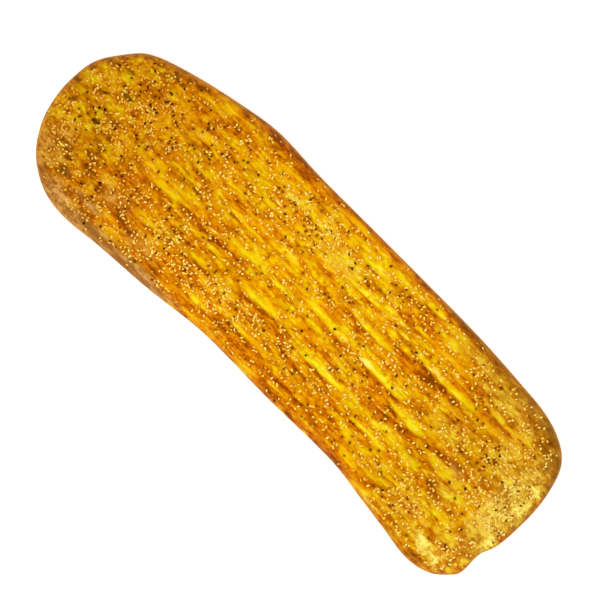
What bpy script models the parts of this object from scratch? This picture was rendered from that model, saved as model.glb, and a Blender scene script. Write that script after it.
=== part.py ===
"""Barbari bread, a long flat loaf baked in one piece, in metres with +Z up.

X runs along the loaf, from its rounded end to its squarer end, and the origin lies on the
table under the middle of its box. The crust is one closed solid: a flat base, a rolled rim
and a top with short furrows pressed along it. Sesame and nigella seeds are fused to it.
"""

import math
import random

import bmesh
import bpy
import numpy as np
from mathutils import Matrix, Vector, noise
from mathutils.bvhtree import BVHTree
from mathutils.geometry import interpolate_bezier

MM = 0.001

# Driving dimensions.
LENGTH = 700 * MM
MIDDLE_HEIGHT = 21 * MM  # from the table to the crust in the middle of the loaf
END_THINNING = 3 * MM  # the squarer end is this much lower
THINNING_MIDDLE = 270 * MM  # where along the loaf half of that thinning is reached
THINNING_SPREAD = 50 * MM
RIM_HEIGHT = 6 * MM  # height of the widest line of the side
RIM_ROLL = 19 * MM  # width over which the top rolls down to that line
BASE_INSET = 5 * MM  # the flat base stops this far inside the widest line
UNDERSIDE = [(0.3, 0.35), (1.0, 0.0)]  # shares of inset and height round the lower roll
SWELL_HEIGHT = 3.4 * MM  # gentle swelling of the dough between the furrows
SWELL_LENGTH = 75 * MM
SWELL_WIDTH = 24 * MM

# The edge seen from above, in millimetres, as four stretches that run on from each other.
ROUND_END = [(-318, -87), (-338, -58), (-347, -28), (-349, 0), (-344, 32), (-326, 60)]
FAR_SIDE = [(-306, 80), (-262, 96), (-200, 110), (-145, 118), (-80, 115), (0, 114), (80, 113),
            (170, 111), (240, 106), (283, 101)]
SQUARE_END = [(315, 89), (333, 73), (342, 50), (347, 20), (347, -15), (344, -42), (337, -60),
              (336, -89), (328, -100)]
NEAR_SIDE = [(311, -113), (283, -119), (240, -113), (200, -107), (150, -100), (50, -100),
             (-50, -98), (-130, -106), (-200, -110), (-250, -114), (-285, -108)]

# The larger furrows, in millimetres and degrees: middle x, middle y, length, width, tilt, depth.
# Each is a spindle, so its width shrinks towards the ends to the share below.
FURROW_END_WIDTH = 0.65
FURROWS = [
    (200, 50, 130, 9, 0, 2.6),
    (77, 33, 86, 9, 0, 2.6),
    (38, 7, 84, 9, 0, 2.2),
    (120, 3, 70, 10, 0, 3.0),
    (185, -9, 66, 13, -3, 2.4),
    (247, -24, 48, 12, -8, 2.2),
    (72, -36, 78, 9, 0, 2.4),
    (138, -50, 48, 8, 0, 1.8),
    (-32, -30, 66, 11, 5, 2.8),
    (-8, -65, 68, 8, 0, 2.0),
    (-95, -5, 100, 13, 6, 2.6),
    (-101, -43, 42, 9, 0, 1.8),
    (-183, -11, 74, 11, 5, 2.2),
    (-185, -54, 54, 9, 6, 1.8),
    (-52, 25, 64, 9, 0, 2.0),
    (-113, 22, 54, 8, 0, 1.6),
    (-90, 56, 70, 8, 0, 1.6),
    (35, 57, 62, 8, 0, 1.6),
    (35, 88, 60, 10, 0, 1.6),
    (145, 70, 68, 8, 0, 1.6),
    (-10, 104, 48, 8, -3, 1.4),
    (265, 57, 42, 8, 0, 1.4),
]

# Rows of the top surface, close together on the rolled rim.
RIM_ROWS = 4
ROWS_ALONG = 44
ROWS_ACROSS = 34
CURVE_STEPS = 10  # points of the smooth edge between two given ones
SHARP_ANGLE = math.radians(40)  # steeper folds of the mesh, round the seeds, are shaded sharp

# Seeds: length, width and thickness of each kind.
SESAME_SIZE = Vector((3.3, 2.0, 1.0)) * MM
NIGELLA_SIZE = Vector((2.8, 1.6, 1.4)) * MM
SEED_PITCH = 24.5 * MM  # mean distance between the fused seeds
SEED_STRAY = 0.3  # share of that distance by which a seed strays from an even spread
SEED_SUNK = 0.12  # share of the thickness by which a seed's middle is below the crust
SEED_TAPER = 0.5
SEED_MARGIN = 9 * MM  # no fused seed this close to the edge
BARE_DEPTH = 1 * MM  # nor where a furrow is deeper than this
NIGELLA_SHARE = 0.2
RANDOM_SEED = 11


def clear_scene():
    """Remove everything the file opens with."""
    for thing in list(bpy.data.objects):
        bpy.data.objects.remove(thing, do_unlink=True)


def smooth_edge():
    """The closed edge as four curves of points, one for each stretch, in metres."""
    stretches = [ROUND_END, FAR_SIDE, SQUARE_END, NEAR_SIDE]
    knots = [Vector(point) * MM for stretch in stretches for point in stretch]
    count = len(knots)
    tangents = [(knots[(i + 1) % count] - knots[i - 1]).normalized() for i in range(count)]
    curves = []
    start = 0
    for stretch in stretches:
        points = []
        for i in range(start, start + len(stretch)):
            after = (i + 1) % count
            reach = (knots[after] - knots[i]).length / 3
            points += interpolate_bezier(
                knots[i],
                knots[i] + tangents[i] * reach,
                knots[after] - tangents[after] * reach,
                knots[after],
                CURVE_STEPS + 1,
            )[:-1]
        start += len(stretch)
        curves.append(points + [knots[start % count]])
    return [np.array(curve) for curve in curves]


def centred(curves):
    """The curves scaled to the loaf's length, with the middle of their box at zero."""
    edge = np.vstack(curves)
    low, high = edge.min(axis=0), edge.max(axis=0)
    scale = LENGTH / (high[0] - low[0])
    return [(curve - (low + high) / 2) * scale for curve in curves]


def along_curve(curve, shares):
    """Points at the given shares of a curve's length."""
    steps = np.linalg.norm(np.diff(curve, axis=0), axis=1)
    travelled = np.concatenate([[0], np.cumsum(steps)])
    wanted = np.asarray(shares) * travelled[-1]
    return np.stack([np.interp(wanted, travelled, curve[:, i]) for i in range(2)], axis=-1)


def row_shares(span, rows):
    """Shares of a span for the grid's rows: by equal angles round the rim, then even."""
    angles = np.linspace(0, math.pi / 2, RIM_ROWS + 1)
    rim = RIM_ROLL * (1 - np.cos(angles)) / span
    middle = np.linspace(rim[-1], 1 - rim[-1], rows - 2 * RIM_ROWS + 1)
    return np.concatenate([rim[:-1], middle, 1 - rim[-2::-1]])


def patch_points(curves, across_shares, along_shares):
    """A grid of points inside the four curves, blended from their opposite sides."""
    round_end, far_side, square_end, near_side = curves
    left = along_curve(round_end, across_shares)[:, None]
    right = along_curve(square_end[::-1], across_shares)[:, None]
    top = along_curve(far_side, along_shares)[None]
    bottom = along_curve(near_side[::-1], along_shares)[None]
    u = along_shares[None, :, None]
    v = across_shares[:, None, None]
    corners = (
        (1 - u) * (1 - v) * bottom[0, 0]
        + u * (1 - v) * bottom[0, -1]
        + (1 - u) * v * top[0, 0]
        + u * v * top[0, -1]
    )
    return (1 - v) * bottom + v * top + (1 - u) * left + u * right - corners


def edge_distance(point, edge):
    """Distance in plan from a point to the closed edge."""
    ends = np.roll(edge, -1, axis=0)
    sides = ends - edge
    lengths = np.maximum((sides**2).sum(axis=1), 1e-12)
    share = np.clip(((point - edge) * sides).sum(axis=1) / lengths, 0, 1)
    nearest = edge + sides * share[:, None]
    return float(np.sqrt(((point - nearest) ** 2).sum(axis=1).min()))


def furrow_depth(x, y):
    """How far the furrows press the crust down at a point."""
    depth = 0.0
    for middle_x, middle_y, length, width, tilt, deep in FURROWS:
        away = Vector((x - middle_x * MM, y - middle_y * MM))
        away.rotate(Matrix.Rotation(-math.radians(tilt), 2))
        along = away.x / (length * MM / 2)
        if abs(along) >= 1:
            continue
        taper = 1 - along * along
        spread = FURROW_END_WIDTH + (1 - FURROW_END_WIDTH) * taper
        across = away.y / (width * MM * spread / math.sqrt(2))
        depth = max(depth, deep * MM * taper * math.exp(-across * across))
    return depth


def crust_height(x, y, distance):
    """Height of the top at a point that lies the given distance inside the edge."""
    swell = noise.noise(Vector((x / SWELL_LENGTH, y / SWELL_WIDTH, 0.5))) * SWELL_HEIGHT
    thinning = END_THINNING * (1 + math.tanh((x - THINNING_MIDDLE) / THINNING_SPREAD)) / 2
    full = MIDDLE_HEIGHT + swell - thinning - furrow_depth(x, y)
    inward = 1 - min(distance / RIM_ROLL, 1)
    return RIM_HEIGHT + (full - RIM_HEIGHT) * math.sqrt(1 - inward * inward)


def crust_mesh(curves, edge):
    """The bare loaf: the top as a grid laid inside the edge, the rim rolled under, the base flat."""
    span = edge.max(axis=0) - edge.min(axis=0)
    along_shares = row_shares(span[0], ROWS_ALONG)
    across_shares = row_shares(span[1], ROWS_ACROSS)
    points = patch_points(curves, across_shares, along_shares)

    mesh = bmesh.new()
    bmesh.ops.create_grid(mesh, x_segments=ROWS_ALONG, y_segments=ROWS_ACROSS, size=0.5)
    for vertex in mesh.verts:
        column = round((vertex.co.x + 0.5) * ROWS_ALONG)
        row = round((vertex.co.y + 0.5) * ROWS_ACROSS)
        x, y = points[row, column]
        distance = 0.0 if vertex.is_boundary else edge_distance(points[row, column], edge)
        vertex.co = (x, y, crust_height(x, y, distance))

    rim = [side for side in mesh.edges if side.is_boundary]
    for inset, height in UNDERSIDE:
        made = bmesh.ops.extrude_edge_only(mesh, edges=rim)["geom"]
        rim = [part for part in made if isinstance(part, bmesh.types.BMEdge) and part.is_boundary]
        ring = {vertex for side in rim for vertex in side.verts}
        for vertex in ring:
            vertex.co = rolled_under(vertex, edge, inset * BASE_INSET, height * RIM_HEIGHT)
    bmesh.ops.contextual_create(mesh, geom=rim)
    bmesh.ops.recalc_face_normals(mesh, faces=mesh.faces)
    bmesh.ops.triangulate(mesh, faces=mesh.faces, quad_method="BEAUTY", ngon_method="BEAUTY")
    return mesh


def rolled_under(vertex, edge, inset, height):
    """A place for a vertex of the underside's roll, inset from the nearest part of the edge."""
    place = np.array(vertex.co[:2])
    nearest = int(((edge - place) ** 2).sum(axis=1).argmin())
    side = edge[(nearest + 1) % len(edge)] - edge[nearest - 1]
    inward = np.array((side[1], -side[0])) / np.linalg.norm(side)
    x, y = edge[nearest] + inward * inset
    return (x, y, height)


def seed_mesh(size):
    """One seed: a small faceted ellipsoid, narrower at one end."""
    mesh = bmesh.new()
    bmesh.ops.create_uvsphere(mesh, u_segments=6, v_segments=3, radius=0.5)
    for vertex in mesh.verts:
        narrowed = vertex.co.y * (1 - SEED_TAPER * vertex.co.z)
        vertex.co = Vector((vertex.co.z, narrowed, vertex.co.x))
    bmesh.ops.scale(mesh, vec=size, verts=mesh.verts)
    bmesh.ops.recalc_face_normals(mesh, faces=mesh.faces)
    data = bpy.data.meshes.new("seed")
    mesh.to_mesh(data)
    mesh.free()
    return data


def seed_places(crust, edge, draw):
    """Places on the crust for the fused seeds, evenly spread and clear of rim and furrows."""
    surface = BVHTree.FromBMesh(crust)
    row_step = SEED_PITCH * math.sqrt(3) / 2
    rows = int(LENGTH / 2 / row_step)
    columns = int(LENGTH / 2 / SEED_PITCH)
    places = []
    for row in range(-rows, rows + 1):
        for column in range(-columns, columns + 1):
            x = (column + row % 2 / 2 + draw.uniform(-SEED_STRAY, SEED_STRAY)) * SEED_PITCH
            y = row * row_step + draw.uniform(-SEED_STRAY, SEED_STRAY) * SEED_PITCH
            place, normal, face, depth = surface.ray_cast(Vector((x, y, 1)), Vector((0, 0, -1)))
            if place is None or edge_distance(np.array((x, y)), edge) < SEED_MARGIN:
                continue
            if furrow_depth(x, y) < BARE_DEPTH:
                places.append((place, normal))
    return places


def lay_seeds(crust, edge, draw):
    """The seeds as objects of one collection, each turned at random and lying on the crust."""
    pile = bpy.data.collections.new("seeds")
    bpy.context.scene.collection.children.link(pile)
    sesame, nigella = seed_mesh(SESAME_SIZE), seed_mesh(NIGELLA_SIZE)
    for place, normal in seed_places(crust, edge, draw):
        dark = draw.random() < NIGELLA_SHARE
        seed = bpy.data.objects.new("seed", nigella if dark else sesame)
        thickness = (NIGELLA_SIZE if dark else SESAME_SIZE).z
        lying = normal.to_track_quat("Z", "Y").to_matrix().to_4x4()
        turned = Matrix.Rotation(draw.uniform(0, math.tau), 4, "Z")
        sunk = Matrix.Translation(place - normal * thickness * SEED_SUNK)
        seed.matrix_world = sunk @ lying @ turned
        pile.objects.link(seed)
    return pile


def fuse(loaf, pile):
    """Join the seeds to the crust as one solid, and remove what the join was made from."""
    union = loaf.modifiers.new("seeds", "BOOLEAN")
    union.operation = "UNION"
    union.solver = "EXACT"
    union.operand_type = "COLLECTION"
    union.collection = pile
    view = bpy.context.evaluated_depsgraph_get()
    fused = bpy.data.meshes.new_from_object(loaf.evaluated_get(view))
    loaf.modifiers.clear()
    loaf.data = fused
    for seed in list(pile.objects):
        bpy.data.objects.remove(seed, do_unlink=True)
    bpy.data.collections.remove(pile)


def crust_material():
    """Glazed golden brown crust."""
    material = bpy.data.materials.new("crust")
    material.use_nodes = True
    shader = material.node_tree.nodes["Principled BSDF"]
    shader.inputs["Base Color"].default_value = (0.66, 0.29, 0.02, 1)
    shader.inputs["Roughness"].default_value = 0.45
    shader.inputs["Metallic"].default_value = 0.0
    return material


def build():
    """The loaf with its seeds, one solid."""
    clear_scene()
    curves = centred(smooth_edge())
    edge = np.vstack([curve[:-1] for curve in curves])
    crust = crust_mesh(curves, edge)
    data = bpy.data.meshes.new("bread")
    crust.to_mesh(data)
    loaf = bpy.data.objects.new("bread", data)
    bpy.context.scene.collection.objects.link(loaf)
    fuse(loaf, lay_seeds(crust, edge, random.Random(RANDOM_SEED)))
    crust.free()
    loaf.data.materials.clear()
    loaf.data.materials.append(crust_material())
    loaf.data.shade_smooth()
    loaf.data.set_sharp_from_angle(angle=SHARP_ANGLE)


build()
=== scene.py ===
"""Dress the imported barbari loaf: a glazed crust with pressed furrows, its sesame and its nigella.

Tables, and the functions that read them, are in millimetres on the loaf seen from above: X along
it, towards the squarer end, and Y across it. Other lengths are in metres.
"""

import math
import random

import bmesh
import bpy
import numpy as np
from mathutils import Matrix, Vector, noise
from mathutils.bvhtree import BVHTree
from mathutils.geometry import interpolate_bezier
from mathutils.kdtree import KDTree


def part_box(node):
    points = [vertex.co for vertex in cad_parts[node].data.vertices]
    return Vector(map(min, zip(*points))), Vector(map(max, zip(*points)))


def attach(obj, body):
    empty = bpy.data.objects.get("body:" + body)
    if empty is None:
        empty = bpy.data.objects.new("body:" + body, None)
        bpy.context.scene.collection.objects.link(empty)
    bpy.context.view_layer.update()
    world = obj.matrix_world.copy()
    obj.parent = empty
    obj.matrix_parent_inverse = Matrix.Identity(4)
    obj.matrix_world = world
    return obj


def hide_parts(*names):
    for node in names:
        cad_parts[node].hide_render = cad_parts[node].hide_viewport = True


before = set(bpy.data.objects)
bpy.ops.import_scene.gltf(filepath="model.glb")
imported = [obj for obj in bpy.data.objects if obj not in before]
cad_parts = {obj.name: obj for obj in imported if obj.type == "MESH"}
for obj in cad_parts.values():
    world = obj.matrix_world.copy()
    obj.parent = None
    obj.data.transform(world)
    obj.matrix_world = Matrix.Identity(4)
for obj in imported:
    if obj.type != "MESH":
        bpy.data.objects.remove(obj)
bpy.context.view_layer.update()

MM = 0.001

# The loaf's form, as its solid has it.
BOX_LOW, BOX_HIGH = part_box("bread")
MIDDLE_HEIGHT = 21 * MM
END_THINNING = 3 * MM
THINNING_MIDDLE = 270 * MM
THINNING_SPREAD = 50 * MM
RIM_HEIGHT = 6 * MM
RIM_ROLL = 19 * MM
BASE_INSET = 5 * MM
UNDERSIDE = [(0.1, 0.75), (0.3, 0.4), (0.6, 0.13), (1.0, 0.0)]
SWELL_HEIGHT = 3.4 * MM
SWELL_LENGTH = 75 * MM
SWELL_WIDTH = 24 * MM

# The edge seen from above, as four stretches that run on from each other.
ROUND_END = [(-318, -87), (-338, -58), (-347, -28), (-349, 0), (-344, 32), (-326, 60)]
FAR_SIDE = [(-306, 80), (-262, 96), (-200, 110), (-145, 118), (-80, 115), (0, 114), (80, 113),
            (170, 111), (240, 106), (283, 101)]
SQUARE_END = [(315, 89), (333, 73), (342, 50), (347, 20), (347, -15), (344, -42), (337, -60),
              (336, -89), (328, -100)]
NEAR_SIDE = [(311, -113), (283, -119), (240, -113), (200, -107), (150, -100), (50, -100),
             (-50, -98), (-130, -106), (-200, -110), (-250, -114), (-285, -108)]
CURVE_STEPS = 10

# Furrows: middle x, middle y, length, width, tilt in degrees, depth, how yellow, how dark the
# lip on the near side, that dark being browning and painted shade of the furrow's wall.
FURROWS = [
    # The squarer half.
    (188, 49, 116, 10, 0, 2.6, 0.85, 0.6),
    (78, 34, 90, 10, 0, 2.6, 0.92, 0.6),
    (41, 7, 86, 11, 0, 2.2, 0.95, 0.5),
    (125, 4, 74, 11, 0, 3.0, 1.0, 0.95),
    (178, -9, 62, 13, -4, 2.4, 0.9, 0.7),
    (251, -24, 50, 14, -3, 2.4, 0.8, 0.7),
    (70, -36, 72, 10, 0, 2.4, 1.0, 0.7),
    (61, -51, 36, 5, 0, 1.0, 0.6, 0.3),
    (144, -50, 36, 6, -2, 1.4, 0.9, 0.3),
    (36, 88, 58, 13, 2, 1.6, 0.9, 0.3),
    (118, 99, 30, 9, 0, 1.4, 0.7, 0.8),
    (162, 71, 100, 6, 0, 1.4, 0.95, 0.4),
    (54, 58, 88, 7, 0, 1.6, 0.8, 0.4),
    (113, 55, 24, 6, 0, 1.2, 0.9, 0.1),
    (12, 42, 42, 4, 0, 0.8, 0.7, 0.3),
    (253, 61, 48, 7, -5, 1.2, 0.8, 0.5),
    (185, 61, 40, 4, 0, 0.8, 0.6, 0.3),
    (72, -75, 28, 6, -6, 1.0, 0.7, 0.5),
    (138, -66, 22, 6, -4, 1.0, 0.7, 0.3),
    (162, -88, 48, 6, -4, 1.2, 0.7, 0.5),
    (184, -81, 32, 8, -3, 1.2, 0.8, 0.2),
    (215, -56, 18, 5, -4, 0.8, 0.8, 0.1),
    (273, -62, 20, 9, 0, 1.0, 0.7, 0.2),
    (6, -93, 34, 7, 4, 0.8, 0.7, 0.0),
    # The rounded half.
    (-30, -28, 74, 15, 3, 2.8, 1.0, 0.9),
    (-7, -66, 70, 7, 0, 2.0, 1.0, 0.7),
    (-76, -2, 58, 9, 3, 2.2, 1.0, 0.0),
    (-105, -8, 84, 12, 5, 1.6, 0.1, 0.6),
    (-88, 5, 38, 3, 0, 0.8, 0.9, 0.0),
    (-116, -9, 30, 3, 0, 0.6, 0.9, 0.0),
    (-50, 27, 50, 9, 0, 2.0, 1.0, 0.2),
    (-104, 22, 68, 6, 0, 1.6, 0.9, 0.2),
    (-104, -43, 38, 8, -3, 1.8, 0.9, 0.6),
    (-10, 107, 48, 8, -1, 1.4, 1.0, 0.5),
    (-73, -76, 36, 8, 0, 1.4, 0.8, 0.7),
    (-70, -93, 44, 8, 0, 0.8, 0.6, 0.2),
    (-131, -81, 30, 8, 2, 1.2, 0.5, 0.6),
    (-90, 97, 68, 6, 1, 1.2, 0.6, 0.1),
    (-144, 84, 44, 5, -1, 1.2, 0.7, 0.6),
    (-8, 86, 26, 7, 0, 1.2, 0.8, 0.1),
    (-92, 53, 72, 6, 0, 1.6, 0.7, 0.3),
    (-132, 41, 50, 4, 0, 1.2, 0.7, 0.2),
    (-90, 61, 20, 3, 0, 0.8, 0.6, 0.8),
    (-165, 29, 34, 4, 0, 0.8, 0.6, 0.1),
    (-185, -12, 78, 11, 5, 2.2, 0.75, 0.5),
    (-184, -54, 46, 9, 5, 1.8, 0.7, 0.5),
    (-193, -88, 52, 13, 3, 1.4, 0.4, 0.1),
    (-187, 14, 34, 5, 0, 1.0, 0.8, 0.1),
    (-228, 80, 30, 5, 3, 1.0, 0.5, 0.6),
]

# Patches of one colour: middle x, middle y, length, width, tilt, strength.
YELLOW = [
    (48, 87, 22, 9, 0, 0.8), (-148, 67, 20, 9, 0, 0.8), (-197, 59, 26, 9, 10, 0.8),
    (-175, 69, 16, 8, 0, 0.5), (-254, 75, 14, 9, 0, 0.7), (-312, -88, 44, 18, -45, 0.4),
    (-199, 100, 14, 9, 0, 0.6), (-260, -32, 16, 12, -20, 0.8), (-280, -52, 10, 9, 0, 0.6),
    (-241, -54, 14, 7, 15, 0.7), (-302, -71, 14, 8, 10, 0.6), (-270, -70, 14, 7, -25, 0.6),
    (-257, -81, 16, 9, 0, 0.6), (-292, 58, 20, 14, 0, 0.5), (170, -29, 30, 12, 0, 0.5),
    (195, -42, 60, 18, 0, 0.6), (30, -27, 14, 7, 0, 0.6), (191, 71, 50, 8, 0, 0.5),
    (215, 88, 60, 14, -3, 0.65), (257, 79, 44, 5, -3, 0.6), (-243, 98, 50, 8, 12, 0.6),
    (258, 49, 44, 9, 0, 0.75), (305, -42, 26, 8, 0, 0.3), (285, -60, 40, 22, 0, 0.5),
    (185, 92, 70, 22, 0, 0.5), (296, 50, 30, 24, 0, 0.4), (-245, 0, 44, 20, 0, 0.5),
    (-120, 70, 60, 16, 0, 0.4), (40, 70, 80, 10, 0, 0.2), (-160, -6, 30, 12, 0, 0.5),
    (90, 12, 40, 6, 0, 0.4), (-40, 80, 70, 12, 0, 0.4), (110, 30, 24, 6, 0, 0.5),
    (225, -95, 40, 8, 0, 0.5), (190, -60, 40, 10, 0, 0.4), (240, 30, 50, 10, 0, 0.3),
    (-118, 81, 110, 7, 0, 0.7), (-112, 69, 50, 9, 0, 0.6), (-30, 48, 60, 5, 0, 0.4),
    # Wider, and most of them weaker.
    (10, 45, 330, 150, 0, 0.17), (210, -62, 150, 60, 0, 0.18), (-70, -20, 120, 60, 0, 0.15),
    (300, -20, 80, 120, 0, 0.12), (30, 90, 200, 36, 0, 0.24), (-85, 80, 90, 44, 0, 0.46),
    (8, 60, 50, 44, 0, 0.7), (45, 85, 60, 30, 0, 0.4), (162, 80, 60, 44, 0, 0.8),
    (-78, -2, 60, 30, 4, 0.6), (-82, -42, 90, 26, 0, 0.45), (15, 8, 80, 30, 0, 0.6),
    (85, 10, 44, 18, 0, 0.55), (112, -40, 44, 20, 0, 0.4), (162, -74, 64, 34, -4, 0.5),
    (235, -70, 36, 24, 0, 0.4), (290, -50, 50, 50, 0, 0.35), (50, -66, 70, 22, 0, 0.45),
    (30, 32, 40, 20, 0, 0.5), (200, -92, 60, 24, 0, 0.5), (-330, 8, 40, 40, 0, 0.2),
    (-155, -72, 40, 40, 0, 0.5), (-245, 44, 60, 24, 0, 0.3), (-132, 10, 44, 26, 0, 0.55),
    (-298, 38, 40, 24, 0, 0.4), (-160, 104, 40, 14, 6, 0.3), (-64, 8, 40, 50, 0, 0.45),
    (-38, 22, 40, 20, -30, 0.6), (54, 84, 40, 24, 0, 0.6), (174, 70, 50, 26, 0, 0.7),
    (32, -3, 30, 20, 0, 0.7), (84, 6, 40, 14, 0, 0.6), (236, -58, 34, 22, 0, 0.5),
    (-56, -90, 40, 14, 0, 0.4), (-205, -2, 44, 22, 0, 0.4), (20, 38, 50, 16, 0, 0.5),
    (-105, 52, 50, 24, 0, 0.4), (-62, 50, 30, 26, 0, 0.4), (-222, 68, 30, 14, 0, 0.4),
    (-275, 46, 34, 20, 0, 0.4), (218, 8, 40, 22, 0, 0.4), (130, 14, 40, 10, 0, 0.4),
    (-267, 62, 44, 22, 0, 0.45), (245, -22, 46, 11, -4, 1.0), (-85, 78, 50, 20, 0, 0.65),
]
BROWN = [
    # Most of them small and towards the far side.
    (-272, 87, 40, 14, 18, 0.8), (-288, 71, 50, 6, -3, 0.9), (-325, 26, 36, 26, 0, 0.8),
    (-315, 64, 40, 18, 45, 0.7), (-232, 76, 32, 5, 0, 0.5), (-190, 82, 54, 20, 0, 0.85),
    (-292, 78, 60, 24, 32, 0.6), (-218, -88, 50, 20, 3, 0.9), (-10, 44, 50, 14, 0, 0.45),
    (-240, 92, 70, 10, 13, 0.4), (-310, -34, 56, 26, 0, 0.9), (14, 28, 30, 16, 0, 0.4),
    (-196, 50, 26, 6, 0, 0.6), (-165, 89, 12, 6, 0, 0.7), (-172, 76, 22, 5, 0, 0.7),
    (-122, 113, 88, 11, 1, 1.4), (-90, 109, 30, 5, 0, 0.8), (-66, 75, 12, 5, 0, 0.6),
    (22, 109, 60, 6, -4, 0.9), (155, 107, 60, 9, -2, 1.5), (80, 91, 28, 5, 0, 0.6),
    (-15, 108, 70, 14, 0, 0.6), (185, 8, 50, 22, 0, 0.4), (262, 84, 50, 22, 0, 0.8),
    (124, 79, 22, 7, 0, 0.9), (129, 91, 38, 5, 0, 1.0), (220, 103, 62, 10, -3, 1.1),
    (274, 96, 56, 12, -8, 0.9), (277, 84, 46, 12, -3, 0.9), (318, 75, 76, 26, -42, 1.1),
    (342, 45, 44, 10, -74, 1.0), (100, 110, 60, 6, -1, 1.0), (-40, 113, 60, 5, 0, 0.9),
    (186, 105, 70, 10, 0, 1.1), (130, -9, 36, 12, 0, 0.9), (-28, -9, 50, 10, 4, 0.4),
    (202, -50, 34, 16, 0, 0.8), (262, -30, 16, 60, 0, 0.7), (-142, -13, 56, 24, 3, 0.7),
    (205, 16, 44, 18, 0, 0.4), (130, -77, 30, 20, 0, 0.8), (312, -52, 30, 22, 0, 0.7),
    (18, 106, 30, 12, 0, 0.8), (-160, 24, 30, 30, 0, 0.5), (-88, 30, 40, 14, 0, 0.5),
    (145, 72, 24, 20, 0, 0.6), (-120, -62, 50, 20, 0, 0.7), (-215, -86, 50, 14, 0, 0.9),
    (-285, -82, 40, 24, -20, 0.8), (-90, 109, 66, 13, 0, 1.05), (-40, 109, 60, 10, 0, 0.8),
    (214, 76, 34, 8, 0, 0.9), (188, 57, 28, 5, 0, 0.6), (247, 53, 50, 9, -4, 0.9),
    (50, 70, 26, 8, 0, 0.4), (0, 98, 40, 4, 0, 0.5), (206, 60, 60, 40, 0, 0.45),
    (-160, 62, 30, 30, 0, 0.5),
    # Along the middle.
    (0, 47, 30, 4, 0, 0.8), (-15, 47, 32, 4, 0, 0.6), (-144, 30, 16, 5, 0, 0.6),
    (-200, 20, 66, 7, 0, 0.7), (-196, 4, 14, 11, 0, 0.7), (-120, 30, 60, 5, 0, 0.5),
    (62, 24, 56, 9, 0, 0.9), (147, 37, 80, 14, 0, 1.3), (188, 39, 44, 10, 0, 1.0),
    (148, 38, 14, 6, 10, 1.3), (248, 35, 18, 5, 0, 0.8), (226, 26, 60, 24, 0, 0.8),
    (303, 12, 30, 8, 6, 0.5), (120, 26, 30, 8, 0, 0.5), (46, -3, 60, 4, 0, 0.6),
    (-63, -18, 20, 4, 0, 0.5), (-24, -20, 16, 4, 0, 0.6), (71, -17, 14, 5, 0, 0.5),
    (84, -23, 14, 6, 0, 0.8), (136, -20, 14, 7, 0, 0.6), (170, -24, 44, 10, 0, 1.3),
    (192, -22, 50, 10, -6, 1.8), (228, -11, 26, 11, 25, 1.1), (254, -7, 40, 9, 0, 1.0),
    (-112, -14, 66, 7, 3, 0.7), (-140, -8, 30, 12, 0, 0.6), (-206, -24, 66, 11, 2, 1.1),
    (-60, 40, 50, 6, 0, 0.3), (-40, 15, 60, 6, 0, 0.3),
    # Towards the near side.
    (10, -37, 44, 6, 0, 0.7), (-23, -38, 50, 7, 0, 0.8), (66, -43, 50, 5, 0, 0.8),
    (254, -43, 34, 20, -20, 1.0), (226, -46, 14, 8, 0, 0.8), (40, -56, 34, 7, 0, 0.7),
    (276, -114, 40, 10, -6, 0.9), (118, -97, 90, 9, 0, 1.1), (-196, -70, 50, 50, 0, 0.85),
    (-125, -53, 48, 8, 4, 0.7), (102, -54, 38, 10, -3, 0.7), (111, -66, 26, 6, 0, 0.8),
    (252, -75, 18, 8, -25, 0.6), (287, -78, 22, 6, -40, 0.6), (11, -77, 22, 6, 5, 0.8),
    (-24, -79, 52, 7, 0, 0.7), (33, -82, 20, 7, 0, 0.6), (79, -89, 24, 9, -10, 0.7),
    (-80, -83, 44, 5, 0, 0.7), (-5, -87, 30, 5, -3, 0.5), (160, -94, 36, 5, -4, 0.7),
    (190, -92, 24, 8, 0, 0.7), (245, -100, 60, 6, 0, 0.9), (252, -111, 40, 4, 0, 0.6),
    (-129, -87, 26, 4, 3, 0.9), (60, -94, 70, 6, 0, 0.5), (120, -95, 60, 6, 0, 0.4),
    (152, -91, 76, 8, -2, 0.75),
    # Wider ones, and more at the two ends.
    (-310, 0, 180, 300, 0, 0.5), (320, 92, 150, 80, -30, 0.6), (-230, -80, 280, 80, 0, 0.55),
    (-260, 85, 160, 50, 12, 0.5), (0, -82, 330, 46, 0, 0.48), (238, 90, 130, 50, -5, 0.68),
    (-290, -36, 64, 40, 0, 0.7), (-210, 72, 64, 40, 8, 0.6), (-205, -30, 70, 36, 0, 0.72),
    (-172, 28, 44, 36, 0, 0.4), (-100, 32, 40, 16, 0, 0.4), (-125, -24, 50, 20, 4, 0.5),
    (-118, -76, 80, 40, 2, 1.0), (190, 36, 70, 22, 0, 0.6), (150, -18, 84, 18, -2, 0.6),
    (208, -24, 60, 18, -4, 0.6), (12, -47, 44, 26, 0, 0.8), (62, -22, 40, 14, 0, 0.7),
    (-336, -6, 22, 18, 0, 0.5), (-255, -38, 56, 14, 0, 0.95), (-264, -91, 18, 5, 15, 0.8),
    (-240, -66, 60, 24, 0, 0.65), (-215, -42, 46, 10, 0, 0.6), (343, 6, 84, 12, 88, 0.7),
    (320, -72, 30, 40, 0, 0.35), (-150, -35, 70, 12, 0, 0.3),
]
STRAW = [
    (326, 0, 60, 190, 0, 0.85), (290, 40, 80, 80, 0, 0.45), (255, 78, 120, 44, 0, 0.5),
    (308, -85, 60, 60, 0, 0.55), (-215, 60, 60, 50, 0, 0.2), (262, -35, 70, 60, 0, 0.35),
    (200, 96, 100, 22, -4, 0.5), (280, 0, 44, 34, 0, 0.4), (245, -84, 90, 44, 0, 0.35),
    (10, 62, 60, 30, 0, 0.45), (-66, -56, 60, 50, 0, 0.2), (224, 16, 60, 50, 0, 0.4),
    (-155, -42, 60, 30, 0, 0.2), (-20, -58, 50, 30, 0, 0.2), (160, 88, 80, 30, 0, 0.3),
    (272, 95, 120, 20, -8, 0.65),
]
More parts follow.
